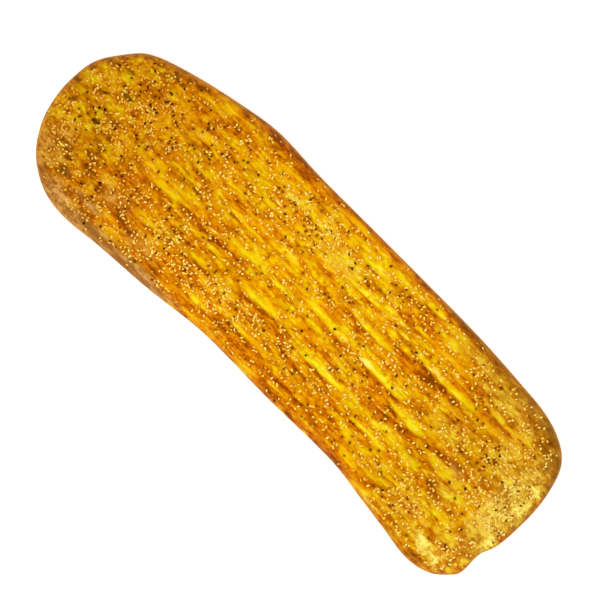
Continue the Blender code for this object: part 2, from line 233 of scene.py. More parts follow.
# Pale, lightly baked patches, and painted highlights on furrow floors and along the near edge.
PALE_AND_HIGHLIGHT = [
    (285, -95, 36, 17, -30, 0.95), (298, -101, 26, 18, 20, 0.9), (336, 32, 14, 36, 0, 0.8),
    (337, -46, 16, 20, -20, 0.95), (333, 4, 14, 34, 0, 0.7), (326, -26, 14, 24, 0, 0.5),
    (312, 52, 12, 10, 0, 0.6), (5, -97, 34, 5, 0, 0.9), (74, -99, 14, 4, 0, 0.8),
    (45, -98, 10, 3, 0, 0.6), (107, -99, 8, 3, 0, 0.8), (211, -104, 26, 5, -4, 0.8),
    (-90, 61, 20, 4, 0, 0.8), (-83, 80, 20, 6, 0, 0.6), (101, 3, 22, 8, 0, 0.85),
    (164, 49, 24, 6, 0, 0.65), (67, 6, 26, 6, 0, 0.5), (176, -81, 14, 5, 0, 0.6),
    (113, 55, 18, 5, 0, 0.5), (-38, 31, 18, 2.5, 0, 0.65), (-88, 6, 26, 2.5, 0, 0.5),
    (260, -102, 30, 6, 0, 0.3), (70, -34, 30, 4, 0, 0.4), (47, 88, 20, 6, 0, 0.4),
    (258, 96, 12, 8, 0, 0.5), (320, 18, 16, 16, 0, 0.4), (-118, -9, 30, 3, 0, 0.6),
]
BLUSH = [
    (-210, -106, 160, 24, 0, 1.0), (-272, -102, 66, 30, -12, 0.85), (-145, -101, 80, 20, 2, 1.0),
    (-282, -76, 24, 16, 0, 0.6), (-302, -92, 60, 20, -44, 0.5), (-240, -84, 50, 16, 0, 0.7),
    (-100, -96, 50, 9, 3, 0.6), (255, -11, 34, 11, 0, 0.5), (-312, -62, 50, 50, 0, 0.45),
    (-165, -78, 60, 26, 0, 0.4), (-225, -60, 60, 30, 0, 0.42),
]
SCORCH = [
    (-296, -13, 16, 6, 32, 1.2), (-272, -33, 13, 6, 42, 1.1), (-287, -63, 10, 6, 35, 0.9),
    (-314, 15, 16, 6, 36, 1.1), (-287, 30, 14, 5, 0, 1.2), (-260, -61, 14, 7, 20, 0.7),
    (-284, -76, 22, 14, 0, 0.75), (151, 38, 8, 5, 30, 0.6), (-266, 94, 20, 4, 15, 0.6),
    (-130, -87, 30, 4, 3, 0.4), (-306, 52, 12, 7, 0, 0.8), (-268, 52, 10, 6, 20, 0.8),
    (-283, 38, 8, 6, 40, 0.8), (-270, -14, 14, 5, -30, 0.7), (-252, 70, 30, 5, -4, 0.5),
]
SMOKE = [
    (-310, -10, 160, 260, 0, 0.26), (-240, 88, 130, 50, 10, 0.1), (320, 85, 120, 70, -30, 0.34),
    (230, 92, 110, 40, -5, 0.26), (300, 20, 110, 120, 0, 0.14), (-200, 0, 160, 250, 0, 0.1),
    (240, -10, 110, 240, 0, 0.12), (182, 98, 64, 30, 0, 0.24), (168, 109, 120, 9, -2, 0.36),
]

# Where seeds lie thickest: middle x, middle y, length, width, tilt, seeds on a square centimetre.
SESAME_THICK = [
    (-270, 34, 104, 60, 0, 3.1), (-318, 30, 46, 60, 0, 1.6), (-322, -50, 44, 34, -60, 1.8),
    (-272, -9, 52, 28, 0, 3.3), (-280, -45, 60, 40, 0, 0.9), (-235, -95, 110, 24, 0, 1.3),
    (-205, -44, 70, 26, 0, 2.0), (-165, 48, 52, 26, 0, 1.6), (-104, -64, 104, 34, 0, 2.2),
    (-66, -54, 50, 34, 0, 2.1), (-22, -54, 40, 24, 0, 2.3), (-20, 72, 140, 42, 0, 3.2),
    (-150, -48, 70, 40, 0, 1.7),
    (8, 58, 36, 26, 0, 3.2), (150, 25, 50, 20, 0, 1.6), (-300, -78, 60, 24, -30, 1.2),
    (85, 78, 60, 32, 0, 1.6), (30, -46, 28, 16, 0, 2.4), (90, -48, 30, 16, 0, 2.4),
    (240, -75, 46, 38, 0, 3.4), (285, 25, 52, 32, 0, 2.8), (185, 32, 34, 18, 0, 2.2),
    (316, -5, 50, 86, 0, 3.0), (285, -18, 26, 44, 0, 1.8), (-160, -75, 70, 22, 0, 1.8),
    (210, 78, 50, 30, 0, 1.4), (322, -80, 26, 50, 0, 1.6), (-60, 78, 60, 30, 0, 1.6),
    (315, 72, 40, 24, -40, 1.2), (-285, -10, 50, 24, 0, 1.6), (225, 12, 50, 18, 0, 1.4),
    (-195, 40, 40, 24, 0, 1.4), (190, -64, 34, 16, 0, 1.2),
]
NIGELLA_THICK = [
    (-262, 38, 120, 60, 0, 0.9), (-290, -10, 50, 40, 0, 0.35), (-185, 62, 110, 34, 0, 0.6),
    (-45, 66, 50, 30, 0, 0.9), (-140, -65, 90, 40, 0, 0.4), (-75, -45, 40, 30, 0, 0.4),
    (-100, 62, 80, 30, 0, 0.5), (-10, 62, 40, 28, 0, 0.6),
    (85, 78, 60, 40, 0, 0.45), (275, 25, 70, 40, 0, 0.5), (230, -75, 50, 40, 0, 0.5),
    (0, 25, 50, 40, 0, 0.3), (-215, -40, 60, 24, 0, 0.4), (15, 75, 60, 30, 0, 0.3),
]
SESAME_COUNT = 3200
NIGELLA_COUNT = 410
SESAME_THIN = 0.65  # seeds on a square centimetre outside the thick places
NIGELLA_THIN = 0.12
SESAME_SIZE = Vector((4.05, 2.5, 1.05)) * MM
NIGELLA_SIZE = Vector((3.5, 2.7, 1.6)) * MM
SESAME_SPREAD = (0.84, 1.14)  # smallest and largest seed, as shares of the usual size
NIGELLA_SPREAD = (0.8, 1.3)
SEED_GAP = 2.1 * MM
SEED_MARGIN = 2.5 * MM
SEED_RINGS = 4
SEED_SIDES = 6
SEED_SUNK = 0.1  # of its thickness, from its middle
SEED_STAIN = 2.8 * MM  # reach of the browned glaze and painted shadow round a seed
SEED_LEAN = 0.12  # radians, by which seeds usually lean
SEED_TRIES = 25  # spots drawn for each seed that is wanted
SEED_CLUMPING = 1.2
FURROW_BARENESS = 0.8  # share of the seeds that a yellow furrow's floor lacks
MARGIN_FADE = 12  # millimetres over which seeds grow as thick as elsewhere
MARGIN_LEAST = 0.08  # their share where that begins

# The crust's colours from its brownest to its most golden, as a picture shows them.
CRUST_TONES = [
    (0.0, (126, 58, 0)), (0.15, (168, 83, 0)), (0.3, (199, 108, 0)), (0.45, (219, 137, 1)),
    (0.6, (234, 166, 4)), (0.75, (243, 193, 8)), (0.9, (250, 216, 14)), (1.0, (255, 234, 44)),
]

# Rows of the crust's mesh.
RIM_ROWS = 8
ROWS_ALONG = 420
ROWS_ACROSS = 190
EDGE_POINTS = 1200  # on each of the edge's four stretches

# How furrows and patches end. Lengths are in millimetres.
FURROW_END_WIDTH = 0.35  # width at a furrow's ends, as a share of its middle's
FURROW_WALLS = (4, 1.8)  # how steep its near and its far wall are
FURROW_FADE = 0.98  # where its colour fades, as a share of its half length
LIP_WIDTH = 2.4  # of the dark lip beside it
LIP_SHARPNESS = 1.2
LIP_RISE = 0.5
PATCH_EDGE = 1.4  # how sharply a patch ends
PAINT_START = 0.2  # strength of a patch from which its paint isn't held back
RIM_REACH = 7.5  # of the darker edge
RUDDY_REACH = 215  # from the loaf's middle towards the squarer end

# Layers of soft noise in millimetres: length and width of the bumps, a number of the layer's own,
# and its strength.
WANDER_ALONG = [(34, 22, 3.1, 6), (9, 4, 4.7, 5)]
WANDER_ACROSS = [(60, 16, 7.3, 3), (12, 5, 8.9, 1.2)]
STREAKS = [(26, 5, 11.5, 0.9), (11, 2.8, 13.5, 0.45), (4.5, 3.5, 17.5, 0.3)]
SEEDS_ALONG = [(30, 30, 21.5, 16)]
SEEDS_ACROSS = [(30, 20, 23.5, 12)]

LIGHT_LEVEL = 1.2  # how bright the light makes a level white surface
WORLD_GLOW = 0.88
FLOOR_GLOW = 0.25  # keeps the floor white round the loaf
CAMERA_HEIGHT = 2400 * MM
PICTURE_SIDE = 591
MM_PER_PIXEL = 1.1038
PICTURE_TURN = math.radians(44.354)  # the loaf runs down to the right by this angle
LOAF_PIXEL = (297.37, 300.86)  # where the middle of the loaf's box lies in the picture


# ---------------------------------------------------------------- the loaf's form


def smooth_edge():
    """The closed edge as four curves of points, one for each stretch, in metres."""
    stretches = [ROUND_END, FAR_SIDE, SQUARE_END, NEAR_SIDE]
    knots = [Vector(point) * MM for stretch in stretches for point in stretch]
    count = len(knots)
    tangents = [(knots[(i + 1) % count] - knots[i - 1]).normalized() for i in range(count)]
    curves = []
    start = 0
    for stretch in stretches:
        points = []
        for i in range(start, start + len(stretch)):
            after = (i + 1) % count
            reach = (knots[after] - knots[i]).length / 3
            points += interpolate_bezier(
                knots[i],
                knots[i] + tangents[i] * reach,
                knots[after] - tangents[after] * reach,
                knots[after],
                CURVE_STEPS + 1,
            )[:-1]
        start += len(stretch)
        curves.append(points + [knots[start % count]])
    return [np.array(curve) for curve in curves]


def centred(curves):
    """The curves scaled to the loaf's length and width, with the middle of their box at zero."""
    edge = np.vstack(curves)
    low, high = edge.min(axis=0), edge.max(axis=0)
    scale = np.array(BOX_HIGH[:2]) - np.array(BOX_LOW[:2])
    return [(curve - (low + high) / 2) * scale / (high - low) for curve in curves]


def along_curve(curve, shares):
    """Points at the given shares of a curve's length."""
    steps = np.linalg.norm(np.diff(curve, axis=0), axis=1)
    travelled = np.concatenate([[0], np.cumsum(steps)])
    wanted = np.asarray(shares) * travelled[-1]
    return np.stack([np.interp(wanted, travelled, curve[:, i]) for i in range(2)], axis=-1)


def row_shares(span, rows):
    """Shares of a span for the grid's rows: by equal angles round the rim, then even."""
    angles = np.linspace(0, math.pi / 2, RIM_ROWS + 1)
    rim = RIM_ROLL * (1 - np.cos(angles)) / span
    middle = np.linspace(rim[-1], 1 - rim[-1], rows - 2 * RIM_ROWS + 1)
    return np.concatenate([rim[:-1], middle, 1 - rim[-2::-1]])


def patch_points(curves, across_shares, along_shares):
    """A grid of points inside the four curves, blended from their opposite sides."""
    round_end, far_side, square_end, near_side = curves
    left = along_curve(round_end, across_shares)[:, None]
    right = along_curve(square_end[::-1], across_shares)[:, None]
    top = along_curve(far_side, along_shares)[None]
    bottom = along_curve(near_side[::-1], along_shares)[None]
    u = along_shares[None, :, None]
    v = across_shares[:, None, None]
    corners = (
        (1 - u) * (1 - v) * bottom[0, 0]
        + u * (1 - v) * bottom[0, -1]
        + (1 - u) * v * top[0, 0]
        + u * v * top[0, -1]
    )
    return (1 - v) * bottom + v * top + (1 - u) * left + u * right - corners


def plan_tree(places):
    """A search tree over places in plan."""
    tree = KDTree(len(places))
    for i, (x, y) in enumerate(places):
        tree.insert((x, y, 0), i)
    tree.balance()
    return tree


def ripple(x, y, length, width, layer):
    """Smooth noise about zero, with bumps of the given size in millimetres."""
    cells = zip((x / length).flat, (y / width).flat)
    values = [noise.noise(Vector((u, v, layer))) for u, v in cells]
    return np.array(values).reshape(x.shape)


def rippled(start, x, y, layers):
    """The start values with each layer's noise added."""
    for length, width, layer, strength in layers:
        start = start + ripple(x, y, length, width, layer) * strength
    return start


def within(x, y, row):
    """How far along and across a row's ellipse each place lies, both 1 at its border."""
    turn = math.radians(row[4])
    away_x, away_y = x - row[0], y - row[1]
    along = (away_x * math.cos(turn) + away_y * math.sin(turn)) / (row[2] / 2)
    across = (away_y * math.cos(turn) - away_x * math.sin(turn)) / (row[3] / 2)
    return along, across


def patches(x, y, rows):
    """The strength of a table's patches at each place."""
    total = np.zeros_like(x)
    for row in rows:
        along, across = within(x, y, row)
        reach = np.exp(-((along**2 + across**2) ** PATCH_EDGE))
        total = np.maximum(total, row[5] * reach)
    return total


def furrow_maps(x, y):
    """The furrows' depth in millimetres, their yellow floor and the dark lip beside them, browning with
    painted shade of the near wall.
    """
    depth, glow, lip = np.zeros_like(x), np.zeros_like(x), np.zeros_like(x)
    for row in FURROWS:
        along, across = within(x, y, row)
        taper = np.clip(1 - along**2, 0, 1)
        half = row[3] / 2
        edge = FURROW_END_WIDTH + (1 - FURROW_END_WIDTH) * taper
        place = across / edge
        near_wall, far_wall = [np.exp(-(np.abs(place) ** steep)) for steep in FURROW_WALLS]
        wall = np.where(place < 0, near_wall, far_wall)
        fade = np.exp(-((along / FURROW_FADE) ** 4))
        depth = np.maximum(depth, row[5] * taper**0.6 * wall)
        glow = np.maximum(glow, row[6] * fade * wall)
        beside = (across * half + edge * half + LIP_WIDTH / 2) / LIP_WIDTH
        lip = np.maximum(lip, row[7] * fade * np.exp(-((beside * LIP_SHARPNESS) ** 2)))
    return depth, glow, lip


def crust_maps(x, y, distance):
    """Every value that varies over the top: its height, and how much of each colour it has."""
    bent_x = rippled(x, x, y, WANDER_ALONG)
    bent_y = rippled(y, x, y, WANDER_ACROSS)
    depth, glow, lip = furrow_maps(bent_x, bent_y)
    brown = patches(bent_x, bent_y, BROWN)
    yellow = patches(bent_x, bent_y, YELLOW)
    maps = {
        "glow": np.maximum(glow, yellow),
        "straw": patches(bent_x, bent_y, STRAW),
        "cream": patches(bent_x, bent_y, PALE_AND_HIGHLIGHT),
        "blush": patches(bent_x, bent_y, BLUSH),
        "scorch": patches(bent_x, bent_y, SCORCH),
        "smoke": patches(bent_x, bent_y, SMOKE),
        "rim": np.exp(-((distance / RIM_REACH) ** 2)),
    }
    swell = ripple(x * MM / SWELL_LENGTH, y * MM / SWELL_WIDTH, 1, 1, 0.5) * SWELL_HEIGHT / MM
    streaks = rippled(0, x, y, STREAKS)
    thinning = END_THINNING * (1 + np.tanh((x * MM - THINNING_MIDDLE) / THINNING_SPREAD)) / 2
    calm = 1 - 0.7 * maps["glow"]
    full = MIDDLE_HEIGHT / MM + swell - thinning / MM - depth + lip * LIP_RISE + streaks * calm
    inward = 1 - np.clip(distance * MM / RIM_ROLL, 0, 1)
    rise = np.sqrt(1 - inward**2)
    maps["height"] = RIM_HEIGHT / MM + (full - RIM_HEIGHT / MM) * rise
    # Furrow floors brighten the glaze. Brown patches, lips (browning and painted shade), ridges and
    # swellings darken it.
    maps["light"] = maps["glow"] * 0.4 - brown * 0.28 - lip * 0.36 - streaks * 0.1 - swell * 0.02
    # Browning is reddest in the middle, and fades sooner towards the squarer end.
    towards_end = np.maximum(x, -0.75 * x) / RUDDY_REACH
    maps["ruddy"] = np.maximum(brown * np.exp(-(towards_end**6)), lip)
    return maps


def tuck_under(vertex, rim, tree, inset, height):
    """Move a vertex of the underside's roll inwards from the nearest part of the edge."""
    index = tree.find((vertex.co.x, vertex.co.y, 0))[1]
    side = rim[(index + 1) % len(rim)] - rim[index - 1]
    inward = Vector((side[1], -side[0], 0)).normalized()
    vertex.co += inward * inset
    vertex.co.z = height


def near_seeds(points, spots):
    """How close each point lies to a seed in plan: 1 under it, 0 well away."""
    seeds = plan_tree(np.array(spots) * MM)
    away = [seeds.find((x, y, 0))[2] for x, y in points.reshape(-1, 2)]
    return np.exp(-((np.array(away) / SEED_STAIN) ** 2)).reshape(points.shape[:2])


def crust_mesh(curves, rim, tree, sesame, nigella):
    """The crust as one closed mesh that carries its colour values."""
    span = rim.max(axis=0) - rim.min(axis=0)
    along_shares = row_shares(span[0], ROWS_ALONG)
    across_shares = row_shares(span[1], ROWS_ACROSS)
    points = patch_points(curves, across_shares, along_shares)
    away = [tree.find((x, y, 0))[2] for x, y in points.reshape(-1, 2)]
    distance = np.array(away).reshape(points.shape[:2]) / MM
    distance[[0, -1], :] = 0
    distance[:, [0, -1]] = 0
    maps = crust_maps(points[..., 0] / MM, points[..., 1] / MM, distance)
    maps["stain_and_shadow"] = near_seeds(points, sesame)
    maps["soak"] = near_seeds(points, nigella)
    height = maps.pop("height") * MM
    height *= (BOX_HIGH.z - SESAME_SIZE.z) / height.max()

    mesh = bmesh.new()
    bmesh.ops.create_grid(mesh, x_segments=ROWS_ALONG, y_segments=ROWS_ACROSS, size=0.5)
    layers = [(mesh.verts.layers.float.new(name), values) for name, values in maps.items()]
    for vertex in mesh.verts:
        column = round((vertex.co.x + 0.5) * ROWS_ALONG)
        row = round((vertex.co.y + 0.5) * ROWS_ACROSS)
        vertex.co = (*points[row, column], height[row, column])
        for layer, values in layers:
            vertex[layer] = values[row, column]

    border = [side for side in mesh.edges if side.is_boundary]
    last_inset = 0
    for inset, level in UNDERSIDE:
        made = bmesh.ops.extrude_edge_only(mesh, edges=border)["geom"]
        border = [part for part in made if isinstance(part, bmesh.types.BMEdge) and part.is_boundary]
        for vertex in {vertex for side in border for vertex in side.verts}:
            tuck_under(vertex, rim, tree, (inset - last_inset) * BASE_INSET, level * RIM_HEIGHT)
        last_inset = inset
    bmesh.ops.contextual_create(mesh, geom=border)
    bmesh.ops.recalc_face_normals(mesh, faces=mesh.faces)
    return mesh


def piece_with(data, name, material):
    """A smooth object from mesh data, with its one material, riding on the loaf's body."""
    data.shade_smooth()
    data.materials.append(material)
    piece = bpy.data.objects.new(name, data)
    bpy.context.scene.collection.objects.link(piece)
    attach(piece, "root")
    return piece


# ---------------------------------------------------------------- seeds


def inside_edge(x, y):
    """Which places lie within the loaf's edge, in millimetres."""
    edge = np.vstack(centred(smooth_edge())) / MM
    inside = np.zeros(len(x), dtype=bool)
    for start, end in zip(edge, np.roll(edge, -1, axis=0)):
        if start[1] != end[1]:
            beside = (start[1] > y) != (end[1] > y)
            meets = start[0] + (y - start[1]) / (end[1] - start[1]) * (end[0] - start[0])
            inside ^= beside & (x < meets)
    return inside


def seed_spots(count, thick, thin, tree, draw):
    """Spots for seeds in plan, thick where the table says, sparse in furrows and at the rim."""
    low, high = np.array(BOX_LOW[:2]) / MM, np.array(BOX_HIGH[:2]) / MM
    gap = SEED_GAP / MM
    spots = draw.uniform(low, high, (count * SEED_TRIES, 2))
    spots = spots[inside_edge(spots[:, 0], spots[:, 1])]
    x, y = spots[:, 0], spots[:, 1]
    bent_x = rippled(x, x, y, SEEDS_ALONG)
    bent_y = rippled(y, x, y, SEEDS_ACROSS)
    clumps = np.exp(ripple(x, y, 14, 10, 25.5) * SEED_CLUMPING)
    wanted = np.maximum(patches(bent_x, bent_y, thick), thin) * clumps
    glow = furrow_maps(x, y)[1]
    away = np.array([tree.find((a * MM, b * MM, 0))[2] for a, b in spots]) / MM
    inwards = np.clip((away - SEED_MARGIN / MM) / MARGIN_FADE, MARGIN_LEAST, 1)
    wanted = wanted * (1 - FURROW_BARENESS * glow) * inwards
    wanted[away < SEED_MARGIN / MM] = 0
    kept = spots[draw.uniform(0, wanted.max(), len(spots)) < wanted]
    taken, chosen = {}, []
    for spot in kept:
        cell = tuple(int(v // gap) for v in spot)
        near = [taken.get((cell[0] + i, cell[1] + j)) for i in (-1, 0, 1) for j in (-1, 0, 1)]
        if all(other is None or math.dist(spot, other) > gap for other in near):
            taken[cell] = spot
            chosen.append(spot)
    return chosen[:count]


def seed_form():
    """One seed of unit size, narrower towards one end: its points and its triangles."""
    seed = bmesh.new()
    bmesh.ops.create_uvsphere(seed, u_segments=SEED_SIDES, v_segments=SEED_RINGS, radius=0.5)
    for vertex in seed.verts:
        narrow = 1 - 0.55 * vertex.co.z - 0.25 * vertex.co.z**2
        vertex.co = Vector((vertex.co.z, vertex.co.y * narrow, vertex.co.x))
    bmesh.ops.triangulate(seed, faces=seed.faces)
    bmesh.ops.recalc_face_normals(seed, faces=seed.faces)
    points = np.array([(*vertex.co, 1) for vertex in seed.verts])
    triangles = np.array([[vertex.index for vertex in face.verts] for face in seed.faces])
    return points, triangles


def lay_seeds(name, spots, surface, size, spread, draw, material):
    """One joined mesh with a seed lying on the crust at each spot, its size varied by the spread."""
    points, triangles = seed_form()
    seeds, tones = [], []
    for x, y in spots:
        place, normal = surface.ray_cast(Vector((x * MM, y * MM, 1)), Vector((0, 0, -1)))[:2]
        lying = normal.to_track_quat("Z", "Y").to_matrix().to_4x4()
        turned = Matrix.Rotation(draw.uniform(0, math.tau), 4, "Z")
        tipped = Matrix.Rotation(draw.gauss(0, SEED_LEAN), 4, "Y")
        scaled = Matrix.Diagonal((*(size * draw.uniform(*spread)), 1))
        sunk = Matrix.Translation(place - normal * size.z * SEED_SUNK)
        placed = sunk @ lying @ turned @ tipped @ scaled
        seeds.append((points @ np.array(placed).T)[:, :3])
        tones += [draw.random()] * len(points)
    corners = triangles[None] + np.arange(len(seeds))[:, None, None] * len(points)
    data = bpy.data.meshes.new(name)
    data.from_pydata(np.vstack(seeds).tolist(), [], corners.reshape(-1, 3).tolist())
    data.attributes.new("tone", "FLOAT", "POINT").data.foreach_set("value", tones)
    return piece_with(data, name, material)


# ---------------------------------------------------------------- materials


def seen(red, green, blue):
    """The shader's numbers for a level surface that the picture shows in this colour, 0 to 255."""
    parts = [value / 255 for value in (red, green, blue)]
    linear = [v / 12.92 if v < 0.04045 else ((v + 0.055) / 1.055) ** 2.4 for v in parts]
    return (*[value / LIGHT_LEVEL for value in linear], 1)


class Shade:
    """An output in a material, on which arithmetic adds Math nodes."""

    def __init__(self, finish, socket):
        self.finish = finish
        self.socket = socket

    def math(self, operation, *others):
        return self.finish.node("ShaderNodeMath", {"operation": operation}, [self, *others])

    def __add__(self, other):
        return self.math("ADD", other)

    __radd__ = __add__

    def __mul__(self, other):
        return self.math("MULTIPLY", other)

    __rmul__ = __mul__

    def __sub__(self, other):
        return self.math("SUBTRACT", other)

    def __rsub__(self, other):
        return self.math("MULTIPLY", -1) + other


class Finish:
    """A material under construction, ending in one Principled shader."""

    def __init__(self, name):
        self.material = bpy.data.materials.new(name)
        self.material.use_nodes = True
        self.tree = self.material.node_tree
        self.shader = self.tree.nodes["Principled BSDF"]
        self.place = self.node("ShaderNodeTexCoord", output="Object")

    def feed(self, socket, value):
        if isinstance(value, Shade):
            self.tree.links.new(value.socket, socket)
        else:
            socket.default_value = value

    def node(self, kind, settings=None, inputs=(), output=0):
        made = self.tree.nodes.new(kind)
        for name, value in (settings or {}).items():
            setattr(made, name, value)
        pairs = inputs.items() if isinstance(inputs, dict) else enumerate(inputs)
        for key, value in pairs:
            self.feed(made.inputs[key], value)
        return Shade(self, made.outputs[output])

    def noise(self, scale, detail=4.0, roughness=0.55, shift=(0, 0, 0)):
        """Noise with a number of bumps to the metre of its own along each axis."""
        moved = self.node("ShaderNodeVectorMath", {"operation": "ADD"}, [self.place, shift])
        spread = self.node("ShaderNodeVectorMath", {"operation": "MULTIPLY"}, [moved, scale])
        return self.node(
            "ShaderNodeTexNoise",
            inputs={"Vector": spread, "Scale": 1.0, "Detail": detail, "Roughness": roughness},
        )

    def value(self, name):
        """One of the mesh's own values."""
        return self.node("ShaderNodeAttribute", {"attribute_name": name}, output="Fac")

    def step(self, value, low, high):
        """0 below low, 1 above high and smooth between."""
        return self.node(
            "ShaderNodeMapRange", {"interpolation_type": "SMOOTHSTEP"}, [value, low, high]
        )

    def mix(self, share, first, second):
        """The first colour, turning into the second as share goes to 1."""
        return self.node(
            "ShaderNodeMix", {"data_type": "RGBA"}, {0: share, 6: first, 7: second}, output=2
        )

    def tinted(self, colour, tint):
        """A colour with each of its parts multiplied by the tint's."""
        return self.node("ShaderNodeVectorMath", {"operation": "MULTIPLY"}, [colour, tint])

    def ramp(self, value, stops):
        """The stops' colours, blended as the value goes from one to the next."""
        share = self.node("ShaderNodeValToRGB", inputs=[value])
        elements = share.socket.node.color_ramp.elements
        for position, colour in stops[1:-1]:
            elements.new(position).color = seen(*colour)
        elements[0].color = seen(*stops[0][1])
        elements[-1].color = seen(*stops[-1][1])
        return share

    def spots(self, number, small, large):
        """Scattered dots, a number of cells to the metre, with sizes as shares of a cell."""
        spread = self.node(
            "ShaderNodeVectorMath", {"operation": "MULTIPLY"}, [self.place, (number,) * 3]
        )
        cells = self.node("ShaderNodeTexVoronoi", inputs={"Vector": spread, "Scale": 1.0})
        return 1 - self.step(cells, small, large)

    def bump(self, height, distance):
        inputs = {"Strength": 1.0, "Distance": distance, "Height": height}
        return self.node("ShaderNodeBump", inputs=inputs)

    def end(self, **sockets):
        for name, value in sockets.items():
            self.feed(self.shader.inputs[name.replace("_", " ")], value)
        return self.material


def crust_finish():
    """Glazed crust: browned and golden streaks, yellow furrows, paler patches with painted highlights,
    painted light and shade at creases, lips and round seeds, a matte side.
    """
    finish = Finish("glazed_crust")
    drifts = finish.noise((16, 42, 30), 2.0, 0.8, (3, 1, 0))
    streaks = finish.noise((34, 130, 80), 4.0, 0.78)
    mottle = finish.noise((95, 190, 140), 3.0, 0.75, (1, 7, 0))
    grain = finish.noise((420, 560, 500), 2.0, 0.8, (6, 4, 0))
    blotches = finish.noise((30, 55, 40), 4.0, 0.6, (2, 5, 0))
    glow = finish.value("glow")

    along = finish.node("ShaderNodeSeparateXYZ", inputs=[finish.place], output="X")
    across = finish.node("ShaderNodeSeparateXYZ", inputs=[finish.place], output="Y")
    height = finish.node("ShaderNodeSeparateXYZ", inputs=[finish.place], output="Z")
    # Painted light and shade of small creases: brighter towards the near side, as slopes facing the key
    # light, then a sharp dark line of painted shade and browning.
    folds = finish.noise((9, 30, 20), 3.0, 0.7, (4, 8, 0)) * 3.2 - across * 62
    crease_light_and_shade = (folds.math("FRACT") - 0.5) * finish.step(blotches, 0.4, 0.62)

    calm = 1 - glow * 0.52
    texture = (streaks - 0.5) * 1.6 + (mottle - 0.5) * 1.4 + (grain - 0.5) * 0.15 + crease_light_and_shade * 0.3
    # Both ends are mottled rather than streaked.
    rounded = 1 - finish.step(along, -0.28, -0.17)
    ends = rounded + finish.step(along, 0.22, 0.3)
    clouds = finish.noise((66, 84, 80), 4.0, 0.8, (5, 5, 0))
    texture = texture * (1 - ends * 0.5) + (clouds - 0.5) * (ends * 1.9 + rounded * 0.7)
    tone = 0.52 + finish.value("light") + (drifts - 0.5) * 0.75 + texture * calm
    # Scattered dark flecks: browned specks, and partly painted shade standing for small pits and seed
    # shadows.
    pits = finish.spots(95, 0.1, 0.3) * finish.step(blotches, 0.42, 0.6)
    # Round each seed the crust darkens: browned glaze, and the seed's painted shadow.
    tone = tone + rounded * 0.05 - finish.value("stain_and_shadow") * 0.14 - pits * 0.35
    # The edge is darker than the top, and darker still on the far side.
    far = finish.step(across, -0.02, 0.09)
    tone = tone - finish.value("rim") * (0.07 + far * 0.16) * (1 + texture)
    colour = finish.ramp(tone, CRUST_TONES)
    hues = finish.noise((24, 70, 40), 4.0, 0.75, (9, 2, 0))
    ruddy = finish.step(hues + finish.value("ruddy") * 0.22, 0.3, 0.7)
    colour = finish.tinted(colour, finish.mix(ruddy, (0.93, 1.12, 1.6, 1), (1.0, 0.86, 0.5, 1)))
    colour = finish.mix(finish.value("smoke"), colour, seen(104, 84, 6))
    colour = finish.mix(finish.value("soak") * 0.4, colour, seen(118, 56, 0))

    def stroke(name, onto, dark, pale, low, high, noisy):
        """Paint from dark to pale by the texture, broken up by it where the mesh's value ends.

        Strong texture alone brings out no paint: there is none where the value is zero.
        """
        paint = finish.mix(finish.step(tone, 0.25, 0.75), dark, pale)
        value = finish.value(name)
        allowed = finish.step(value, 0.0, PAINT_START)
        share = finish.step(value + texture * noisy, low, high) * allowed
        return finish.mix(share, onto, paint)

    colour = stroke("straw", colour, seen(176, 127, 36), seen(240, 210, 72), 0.1, 1.3, 0.5)
    colour = stroke("blush", colour, seen(154, 96, 36), seen(214, 154, 78), 0.1, 0.9, 0.6)
    # Pale crust, and painted highlights on the furrow floors.
    colour = stroke("cream", colour, seen(240, 198, 36), seen(255, 245, 120), 0.2, 1.1, 1.0)
    colour = stroke("scorch", colour, seen(62, 40, 0), seen(120, 82, 8), 0.3, 0.9, 1.3)
    edging = finish.step(finish.value("rim") + texture * 0.2, 0.75, 1.0) * (0.25 + far * 0.4)
    colour = finish.mix(edging, colour, seen(178, 120, 28))

    side_share = 1 - finish.step(height + (blotches - 0.5) * 0.006, 0.004, 0.009)
    side = finish.mix(finish.step(blotches, 0.35, 0.7), seen(222, 150, 40), seen(186, 104, 16))
    seams = finish.noise((40, 40, 340), 5.0, 0.75, (7, 3, 1))
    side = finish.mix(finish.step(seams, 0.5, 0.72) * 0.6, side, seen(240, 190, 104))
    side = finish.mix((1 - finish.step(seams, 0.3, 0.42)) * 0.5, side, seen(150, 82, 14))
    colour = finish.mix(side_share, colour, side)
    # The underside is dry: pale where it was floured, speckled brown where it met the oven.
    base_share = 1 - finish.step(height, 0.0004, 0.0022)
    browned = finish.noise((14, 22, 22), 8.0, 0.8, (2, 9, 0))
    base = finish.mix(finish.step(browned, 0.3, 0.75), seen(224, 176, 108), seen(166, 104, 44))
    specks = finish.noise((260, 260, 260), 4.0, 0.7, (5, 2, 0))
    base = finish.mix(finish.step(specks, 0.52, 0.7) * 0.6, base, seen(136, 82, 34))
    dots = finish.spots(85, 0.08, 0.34) * finish.step(browned, 0.4, 0.62)
    base = finish.mix(dots * 0.65, base, seen(104, 58, 22))
    flour = finish.step(finish.noise((30, 44, 40), 8.0, 0.8, (8, 3, 0)), 0.5, 0.72)
    base = finish.mix(flour * 0.5, base, seen(238, 218, 182))
    colour = finish.mix(base_share, colour, base)

    rough = side_share * 0.3 + finish.value("rim") * 0.2
    roughness = 0.46 - glow * 0.12 + (mottle - 0.5) * 0.3 + rough
    pores = (specks - 0.5) * (side_share * 0.9 + 0.1) - dots * base_share * 0.5
    normal = finish.bump((streaks + mottle + grain * 0.4) * calm + pores, 0.0009)
    return finish.end(
        Base_Color=colour,
        Roughness=roughness,
        Specular_IOR_Level=0.2,
        Specular_Tint=(1.0, 0.6, 0.0, 1),
        Normal=normal,
    )


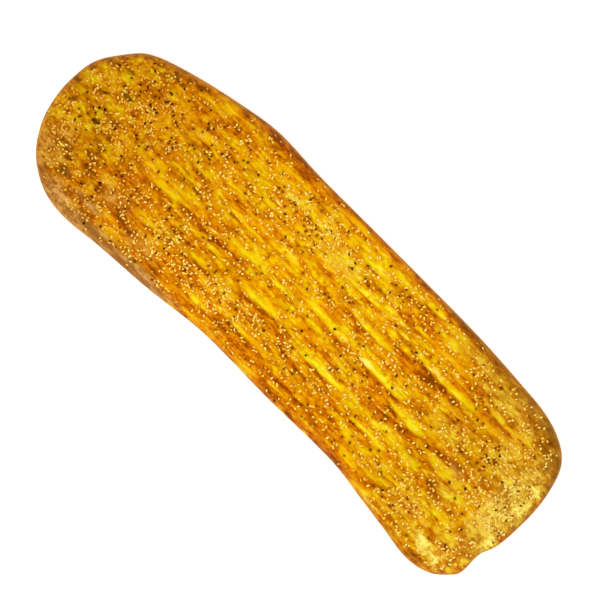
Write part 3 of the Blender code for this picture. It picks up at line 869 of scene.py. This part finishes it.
def sesame_finish():
    """Hulled sesame, golden to cream, more toasted at the rounded end and paler at the square."""
    finish = Finish("sesame")
    tone = finish.value("tone")
    colour = finish.mix(finish.step(tone, 0.0, 0.6), seen(230, 156, 30), seen(255, 218, 84))
    colour = finish.mix(finish.step(tone, 0.7, 1.0) * 0.7, colour, seen(255, 240, 142))
    patchy = finish.noise((500, 500, 500), 2.0)
    colour = finish.mix(finish.step(patchy, 0.5, 0.8) * 0.3, colour, seen(214, 142, 24))
    along = finish.node("ShaderNodeSeparateXYZ", inputs=[finish.place], output="X")
    toasted = 1 - finish.step(along, -0.25, -0.13)
    browned = finish.noise((60, 60, 60), 4.0, 0.7, (4, 2, 0))
    toasted = toasted * (0.1 + finish.step(browned, 0.35, 0.6) * 0.5)
    colour = finish.mix(toasted, colour, seen(222, 142, 28))
    colour = finish.mix(finish.step(along, 0.22, 0.3) * 0.25, colour, seen(255, 230, 140))
    return finish.end(
        Base_Color=colour,
        Roughness=0.45 + (patchy - 0.5) * 0.2,
        Specular_IOR_Level=0.12,
        Specular_Tint=(1.0, 0.7, 0.2, 1),
        Normal=finish.bump(patchy, 0.0002),
    )


def nigella_finish():
    """Nigella, dark red brown and slightly rough."""
    finish = Finish("nigella")
    tone = finish.value("tone")
    along = finish.node("ShaderNodeSeparateXYZ", inputs=[finish.place], output="X")
    paler = finish.step(along, -0.25, -0.13)
    dark = finish.mix(paler, seen(50, 14, 0), seen(86, 36, 0))
    colour = finish.mix(tone, dark, finish.mix(paler, seen(122, 52, 0), seen(172, 84, 0)))
    pits = finish.noise((1500, 1500, 1500), 2.0)
    return finish.end(
        Base_Color=colour,
        Roughness=0.55 + (pits - 0.5) * 0.3,
        Specular_IOR_Level=0.12,
        Specular_Tint=(1.0, 0.5, 0.05, 1),
        Normal=finish.bump(pits, 0.0002),
    )


# ---------------------------------------------------------------- the setting


def floor_piece():
    """A plain white light table, lit faintly from within."""
    mesh = bmesh.new()
    bmesh.ops.create_grid(mesh, x_segments=1, y_segments=1, size=4)
    bmesh.ops.translate(mesh, vec=(0, 0, -0.0002), verts=mesh.verts)
    data = bpy.data.meshes.new("floor")
    mesh.to_mesh(data)
    finish = Finish("floor")
    white = (0.96, 0.96, 0.96, 1)
    lit = {"Emission_Color": white, "Emission_Strength": FLOOR_GLOW}
    data.materials.append(finish.end(Base_Color=white, Roughness=0.9, **lit))
    piece = bpy.data.objects.new("floor", data)
    bpy.context.scene.collection.objects.link(piece)


def soft_light(name, place, size, power, colour):
    """A square area light aimed at the loaf."""
    data = bpy.data.lights.new(name, "AREA")
    data.size = size
    data.energy = power
    data.color = colour
    light = bpy.data.objects.new(name, data)
    light.location = place
    light.rotation_euler = Vector(place).to_track_quat("Z", "Y").to_euler()
    bpy.context.scene.collection.objects.link(light)


def studio():
    """Even white surroundings, with a softer key from the loaf's near side."""
    world = bpy.data.worlds.new("studio")
    world.use_nodes = True
    surroundings = world.node_tree.nodes["Background"].inputs
    surroundings["Color"].default_value = (1, 1, 1, 1)
    surroundings["Strength"].default_value = WORLD_GLOW
    bpy.context.scene.world = world
    bpy.context.scene.view_settings.view_transform = "Standard"
    soft_light("key", (-0.5, -1.5, 2.1), 1.0, 24, (1.0, 0.99, 0.97))
    soft_light("fill", (0.9, 1.4, 2.0), 1.6, 14, (1.0, 1.0, 1.0))


def camera():
    """The camera straight above, turned so that the loaf runs as in the picture."""
    data = bpy.data.cameras.new("camera")
    width = PICTURE_SIDE * MM_PER_PIXEL * MM
    data.sensor_width = 36
    data.lens = data.sensor_width * CAMERA_HEIGHT / width
    data.clip_start = 0.05
    view = bpy.data.objects.new("camera", data)
    right = (PICTURE_SIDE / 2 - LOAF_PIXEL[0]) * MM_PER_PIXEL * MM
    down = (PICTURE_SIDE / 2 - LOAF_PIXEL[1]) * MM_PER_PIXEL * MM
    middle = Matrix.Rotation(PICTURE_TURN, 3, "Z") @ Vector((right, -down, 0))
    view.location = middle + Vector((0, 0, RIM_HEIGHT + CAMERA_HEIGHT))
    view.rotation_euler = (0, 0, PICTURE_TURN)
    bpy.context.scene.collection.objects.link(view)
    bpy.context.scene.camera = view


camera()
studio()
floor_piece()

curves = centred(smooth_edge())
rim = np.vstack([along_curve(curve, np.linspace(0, 1, EDGE_POINTS)[:-1]) for curve in curves])
tree = plan_tree(rim)
scatter = np.random.default_rng(8)
draw = random.Random(8)
nigella_spots = seed_spots(NIGELLA_COUNT, NIGELLA_THICK, NIGELLA_THIN, tree, scatter)
sesame_spots = seed_spots(SESAME_COUNT, SESAME_THICK, SESAME_THIN, tree, scatter)

crust_form = crust_mesh(curves, rim, tree, sesame_spots, nigella_spots)
surface = BVHTree.FromBMesh(crust_form)
crust_data = bpy.data.meshes.new("crust")
crust_form.to_mesh(crust_data)
crust = piece_with(crust_data, "crust", crust_finish())
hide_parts("bread")
lay_seeds("nigella_seeds", nigella_spots, surface, NIGELLA_SIZE, NIGELLA_SPREAD, draw, nigella_finish())
lay_seeds("sesame_seeds", sesame_spots, surface, SESAME_SIZE, SESAME_SPREAD, draw, sesame_finish())
